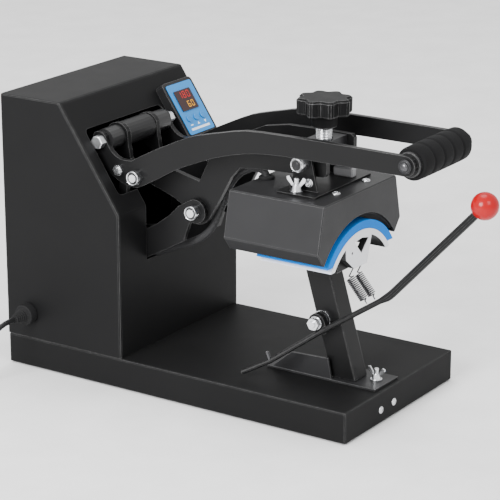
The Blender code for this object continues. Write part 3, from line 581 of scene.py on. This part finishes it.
def cord_tie():
    """Strap round the bundle of turns, with its loose end lying along the top."""
    angle, half_width, inner, outer, steps = math.radians(90), 0.0045, 0.0031, 0.0039, 48
    way = Vector((math.cos(angle), math.sin(angle), 0))
    along = Vector((-way.y, way.x, 0))
    middle = Vector((*COIL_MID, 0)) + way * COIL_R
    bm, loops = bmesh.new(), []
    for radius, side in ((inner, -1), (outer, -1), (outer, 1), (inner, 1)):
        loop = []
        for k in range(steps):
            a = 2 * math.pi * k / steps
            u, v = max(TURNS[:-1], key=lambda t: t[0] * math.cos(a) + t[1] * math.sin(a))
            out_by, up = u + radius * math.cos(a), v + radius * math.sin(a)
            loop.append(bm.verts.new(middle + way * out_by + along * side * half_width
                                     + Vector((0, 0, up))))
        loops.append(loop)
    for first, second in zip(loops, loops[1:] + loops[:1]):
        for k in range(steps):
            bm.faces.new((first[k - 1], first[k], second[k], second[k - 1]))
    loose_end = block(bm, (-0.0036, -0.0080, -0.0004), (0.0036, 0.0080, 0.0004))
    at = middle + way * 0.0066 + Vector((0, 0, 0.0143))
    turn = Matrix((along, way, Vector((0, 0, 1)))).transposed().to_4x4()
    lean = Matrix.Rotation(math.radians(-58), 4, "X")
    bmesh.ops.transform(bm, matrix=Matrix.Translation(at) @ turn @ lean, verts=loose_end)
    piece("cord_tie", bm, "foam", "base", smooth=40)


def heater_cable():
    """Sleeved cable from inside the housing over the arm to the head's grommet."""
    path = [(0.0720, 0.1370), (0.0610, 0.1435), (0.0380, 0.1540), (0.0130, 0.1640),
            (-0.0060, 0.1800), (-0.0170, 0.2000), (-0.0250, 0.2200), (-0.0340, 0.2380),
            (-0.0460, 0.2510), (-0.0590, 0.2575), (-0.0690, 0.2590), (-0.0760, 0.2565),
            (-0.0788, 0.2515), (-0.0790, 0.2450)]
    diameter = 0.0084
    route = curve_through([(CABLE_X, y, z) for y, z in path], 3)
    cable = piece("sleeved_cable", sweep(route, diameter / 2, 16), "sleeve", None,
                  "heater_cable")
    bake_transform(cable)


# springs and lever --------------------------------------------------------------------
def spring(side, x):
    """Extension spring from under the platen to the lever, with a straight wire at each end."""
    top, bottom = Vector((x, -0.1800, 0.1540)), Vector((x, -0.1975, 0.1335))
    upper_hook, lower_hook = Vector((x, -0.1835, 0.1655)), Vector((x, -0.2012, 0.1292))
    turns, per_turn, radius, wire_radius, neck = 13, 14, 0.0043, 0.00070, 0.0020
    axis = (bottom - top).normalized()
    across = Vector((1, 0, 0))
    other = axis.cross(across)
    steps = turns * per_turn
    points = [upper_hook, top - axis * neck]
    for k in range(steps + 1):
        a = 2 * math.pi * k / per_turn
        points.append(top + (bottom - top) * (k / steps)
                      + radius * (math.cos(a) * across + math.sin(a) * other))
    points += [bottom + axis * neck, lower_hook]
    coil = piece("wound_spring_" + side, sweep(points, wire_radius, 8), "dark_zinc", None,
                 "spring_" + side, smooth=60)
    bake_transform(coil)


def lever_ball():
    centre, radius = (-0.047, -0.3433, 0.2634), 0.0145
    bm = bmesh.new()
    bmesh.ops.create_uvsphere(bm, u_segments=56, v_segments=36, radius=radius,
                              matrix=Matrix.Translation(centre))
    ball = piece("ball_grip", bm, "red", "lever", "lever_ball", smooth=80)


# handle -------------------------------------------------------------------------------
def foam_grip():
    """Foam sleeve with shallow rings and a plain hard collar at each end."""
    radius, ring_depth, ring_half, steps = 0.0180, 0.0013, 0.0035, 9
    half = [(-0.0490, 0.0043), (-0.0490, 0.0150), (-0.0482, 0.0168), (-0.0465, 0.0177)]
    for groove in (-0.030, -0.010):
        for step in range(steps):
            u = 2 * step / (steps - 1) - 1
            dip = ring_depth * math.cos(u * math.pi / 2) ** 2
            half.append((groove + ring_half * u, radius - dip))
    profile = [(MID + x, r) for x, r in half + [(-x, r) for x, r in reversed(half)]]
    grip = piece("foam_grip", lathe("x", GRIP, profile, 56, closed=True), "foam", "handle",
                 "grip", smooth=50)
    ring = [(0.0492, 0.0043), (0.0492, 0.0128), (0.0500, 0.0134), (0.0532, 0.0134),
            (0.0540, 0.0126), (0.0540, 0.0043)]
    for side, s in SIDES:
        collar = piece("grip_collar_" + side,
                       lathe("x", GRIP, [(MID + s * x, r) for x, r in ring], 40, closed=True),
                       "plastic", "handle")


def threaded_screw():
    """Pressure screw with its thread cut as close rings."""
    bottom, top, pitch, root, crest = 0.2890, 0.3122, 0.00175, 0.0082, 0.0090
    profile = [(bottom, 0.0076), (bottom + 0.0008, 0.0086)]
    z = bottom + 0.0010
    while z + pitch < top - 0.0006:
        profile += [(z, root), (z + pitch * 0.42, crest), (z + pitch * 0.58, crest)]
        z += pitch
    profile += [(z, root), (top, root)]
    screw = piece("threaded_screw", lathe("z", (MID, SCREW_Y), profile, 40), "zinc", "knob",
                  "pressure_screw", smooth=50)


# screws and nuts ----------------------------------------------------------------------
def cross_cutter(axis, at, radius, height, turn):
    """Two crossed bars at a point, ready to cut a recess into a screw's head."""
    bm = bmesh.new()
    high = (radius * 0.42, radius * 0.10, height * 0.35)
    low = tuple(-v for v in high)
    for quarter in range(2):
        block(bm, low, high, Matrix.Rotation(turn + quarter * math.pi / 2, 3, "Z"))
    facing = {"x": Matrix.Rotation(math.pi / 2, 4, "Y"),
              "y": Matrix.Rotation(math.pi / 2, 4, "X"), "z": Matrix.Identity(4)}[axis]
    spot = Matrix.Translation((at[0], at[1] + SHIFT, at[2]))
    bmesh.ops.transform(bm, matrix=spot @ facing, verts=bm.verts)
    mesh = bpy.data.meshes.new("cross")
    bm.to_mesh(mesh)
    bm.free()
    cutter = bpy.data.objects.new("cross", mesh)
    bpy.context.scene.collection.objects.link(cutter)
    return cutter


def screw_head(name, axis, centre, at, out, radius, body, finish="zinc", turn=0.35):
    """Domed head with a cross recess; at is the surface it sits on, out is +1 or -1."""
    height = radius * 0.55
    profile = [(at, radius)]
    for k in range(1, 7):
        a = math.pi / 2 * k / 6.6
        profile.append((at + out * height * math.sin(a), radius * (math.cos(a) + 0.04)))
    head = piece(name, lathe(axis, centre, profile, 28), finish, body, smooth=50)
    crown = place(axis, *centre, at + out * height * 1.02)
    cutter = cross_cutter(axis, crown, radius, height, turn)
    cut = head.modifiers.new("cross", "BOOLEAN")
    cut.operation, cut.solver, cut.use_self = "DIFFERENCE", "EXACT", True
    cut.object = cutter
    result = bpy.data.meshes.new_from_object(
        head.evaluated_get(bpy.context.evaluated_depsgraph_get()))
    head.modifiers.clear()
    head.data = result
    result.materials.clear()
    result.materials.append(MATERIALS[finish])
    for poly in result.polygons:
        poly.material_index = 0
    result.set_sharp_from_angle(angle=math.radians(50))
    bpy.data.objects.remove(cutter, do_unlink=True)


def lock_nut_end(name, centre, at, out, radius, body, tip="zinc"):
    """Rolled collar, dark insert and bolt tip on the outer face of a lock nut."""
    ring = [(at, radius * 0.78), (at, radius), (at + out * 0.0007, radius * 0.98),
            (at + out * 0.0012, radius * 0.92), (at + out * 0.0008, radius * 0.82)]
    collar = piece(name + "_collar", lathe("x", centre, ring, 32, closed=True), "zinc", body,
                   smooth=60)
    seat = [(at - out * 0.0001, radius * 0.80), (at + out * 0.0002, radius * 0.80)]
    insert = piece(name + "_insert", lathe("x", centre, seat, 32), "plastic", body)
    tip_ring = [(at, radius * 0.46), (at + out * 0.0006, radius * 0.46),
                (at + out * 0.0009, radius * 0.38)]
    end = piece(name + "_tip", lathe("x", centre, tip_ring, 28), tip, body)


def hex_bolt(name, axis, centre, at, out, across, body):
    """Chamfered hexagon standing on a washer, with a rounded bolt tip."""
    corner = across / math.cos(math.radians(30)) / 2
    height = across * 0.48

    def ring(steps, sides, bm=None):
        return lathe(axis, centre, [(at + out * h, r) for h, r in steps], sides, bm)

    bm = ring([(0, across * 0.68), (0.0008, across * 0.68), (0.0009, across * 0.64)], 24)
    ring([(0.0008, corner * 0.95), (height * 0.16, corner), (height * 0.84, corner),
          (height, corner * 0.88)], 6, bm)
    ring([(height - 0.0002, across * 0.30), (height + 0.0012, across * 0.30),
          (height + 0.0017, across * 0.22)], 20, bm)
    piece(name, bm, "zinc", body, smooth=30)


def lever_stop_pin():
    """Short stop pin welded on the lever near its lower end, rounded at the top."""
    foot, top = Vector((-0.0750, -0.1055, 0.0572)), Vector((-0.0750, -0.1017, 0.0668))
    way = (top - foot).normalized()
    bm = sweep([foot, top], 0.0021, 16)
    sweep([top - way * 0.0002, top + way * 0.0006], 0.0015, 16, bm)
    piece("lever_stop_pin", bm, "dark_zinc", "lever")


def yoke_fittings():
    """Cross bolts of the yoke and the dull block that the yoke rests on."""
    for side, s in SIDES:
        hex_bolt("yoke_bolt_" + side, "x", YOKE_BOLT, MID + s * 0.0395, s, 0.0070, "head")
    bm = bmesh.new()
    block(bm, (0.0004, -0.1600, 0.2523), (0.0092, -0.1360, 0.2625))
    bmesh.ops.bevel(bm, geom=bm.edges[:], offset=0.0012, segments=3, affect="EDGES")
    piece("yoke_rest", bm, "rest", "head")


def fittings():
    """Screw heads and lock nuts."""
    screw_head("tray_screw_left", "y", (-0.0424, 0.0163), TRAY_FRONT_Y, -1, 0.0042, "base")
    screw_head("tray_screw_right", "y", (-0.0151, 0.0167), TRAY_FRONT_Y, -1, 0.0042, "base",
               turn=0.9)
    for n, spot in enumerate([(-0.0517, -0.1717), (0.0082, -0.1724)], 1):
        screw_head("cover_screw_%d" % n, "z", spot, COVER_TOP_Z, 1, 0.0048, "head",
                   turn=0.3 * n)
    rear_spots = [(x, z) for z in (0.048, 0.305, 0.176) for x in (-0.104, 0.104)]
    for n, spot in enumerate(rear_spots, 1):
        screw_head("rear_screw_%d" % n, "y", spot, REAR_FACE_Y, 1, 0.0038, "base", "steel",
                   0.4 * n)
    for side, s in SIDES:
        screw_head("handle_screw_" + side, "x", GRIP, MID + s * 0.0635, s, 0.0046, "handle",
                   "dark_zinc", 0.5)
        lock_nut_end("tilt_nut_" + side, TILT, MID + s * 0.0540, s, 0.0070, "head", "steel")
        lock_nut_end("pivot_nut_" + side, ARM_PIVOT, MID + s * 0.0450, s, 0.0080, "base")
        lock_nut_end("arm_nut_" + side, HANDLE_BOLT, MID + s * 0.0685, s, 0.0080, "handle")


# controller face ----------------------------------------------------------------------
# lit bars of each figure: a top, b and c right, d bottom, e and f left, g middle
SEGMENTS = {"0": "abcdef", "1": "bc", "6": "afgedc", "8": "abcdefg"}


def digits(text, x, s, width, height):
    """Seven-segment figures drawn flat, the first one starting at x, s."""
    bm = bmesh.new()
    bar = width * 0.20
    top, middle, low = s + height, s + height / 2, s
    for n, sign in enumerate(text):
        left = x + n * width * 1.45
        right = left + width
        spots = {"a": (left + bar / 2, right - bar / 2, top - bar, top),
                 "g": (left + bar / 2, right - bar / 2, middle - bar / 2, middle + bar / 2),
                 "d": (left + bar / 2, right - bar / 2, low, low + bar),
                 "f": (left, left + bar, middle + bar / 3, top - bar / 2),
                 "b": (right - bar, right, middle + bar / 3, top - bar / 2),
                 "e": (left, left + bar, low + bar / 2, middle - bar / 3),
                 "c": (right - bar, right, low + bar / 2, middle - bar / 3)}
        for key in SEGMENTS[sign]:
            x0, x1, s0, s1 = spots[key]
            block(bm, (x0, s0, FIGURES[0]), (x1, s1, FIGURES[1]))
    return bm


def on_slope(name, bm, finish):
    """Lays a piece drawn flat onto the controller's face."""
    laid = Matrix.Translation(CASE_MID) @ Matrix.Rotation(SLOPE, 4, "X")
    bmesh.ops.transform(bm, matrix=laid, verts=bm.verts)
    piece(name, bm, finish, "base")


def controller_face():
    """Figures in the window, marks on the keys and a plain bar below them."""
    on_slope("upper_figures", digits("180", -0.0115, 0.0118, 0.0052, 0.0086), "red_led")
    on_slope("lower_figures", digits("60", -0.0030, 0.0000, 0.0048, 0.0078), "amber_led")
    low, high = PRINT
    marks = bmesh.new()
    block(marks, (-0.0175, -0.0272, low), (0.0175, -0.0245, high))
    key_row, half_width = -0.0205, 0.0022
    for x, up in ((0.0, 1), (0.0130, -1)):
        foot, tip = key_row - up * 0.0013, key_row + up * 0.0020
        points = [(x - half_width, foot), (x + half_width, foot), (x, tip)]
        lower = [marks.verts.new((*point, low)) for point in points]
        upper = [marks.verts.new((*point, high)) for point in points]
        marks.faces.new(lower)
        marks.faces.new(upper)
        for i in range(3):
            marks.faces.new((lower[i - 1], lower[i], upper[i], upper[i - 1]))
    block(marks, (-0.0152, -0.0212, low), (-0.0108, -0.0198, high))
    on_slope("printed_marks", marks, "white")


MATERIALS = make_materials()
camera()
studio()
dress_cad_nodes()
power_cord()
ribbed_gland()
cord_tie()
heater_cable()
for spring_side, spring_x in (("left", -0.0345), ("right", -0.0175)):
    spring(spring_side, spring_x)
lever_ball()
foam_grip()
threaded_screw()
fittings()
controller_face()
yoke_fittings()
lever_stop_pin()
